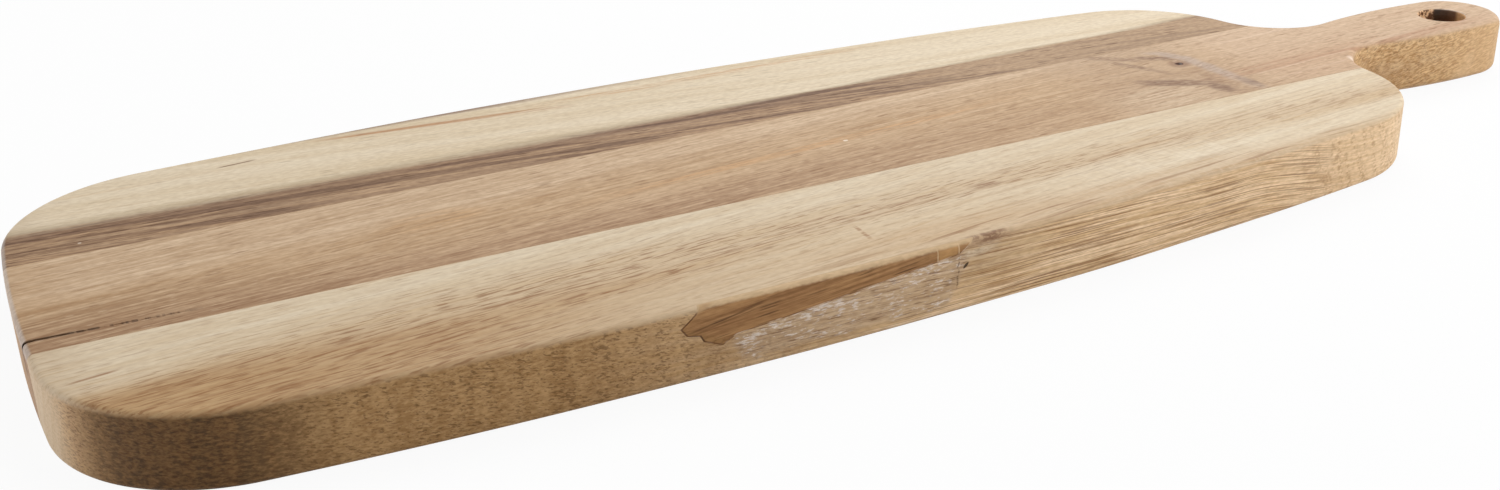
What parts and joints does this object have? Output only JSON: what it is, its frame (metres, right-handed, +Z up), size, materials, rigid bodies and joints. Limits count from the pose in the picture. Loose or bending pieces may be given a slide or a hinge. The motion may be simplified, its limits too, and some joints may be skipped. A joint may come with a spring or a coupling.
{
  "type": "paddle serving board",
  "caption": "Long wooden paddle board for serving, edge-glued from staves, with softly rounded arrises and a slim handle with a hanging hole.",
  "frame": {"origin": "middle of the board's length and width, on the underside", "axes": "+X along the board towards the tip of the handle, +Y across the staves towards the far stave, +Z up out of the serving face"},
  "size_m": [0.45, 0.152, 0.0175],
  "materials": {
    "far_stave_wood": "sanded, thin oil",
    "centre_stave_wood": "sanded, thin oil",
    "near_stave_wood": "sanded, thin oil",
    "patch_wood": "sanded, thin oil",
    "wood_glue": "dried wood glue, sanded flush",
    "patch_filler": "dried glue and filler, sanded flush"
  },
  "bodies": {
    "root": {"far_stave": "far_stave_wood", "far_glue_line": "wood_glue", "centre_stave": "centre_stave_wood", "near_glue_line": "wood_glue", "near_stave": "near_stave_wood", "edge_patch": "patch_wood", "patch_glue": "patch_filler"}
  },
  "joints": []
}
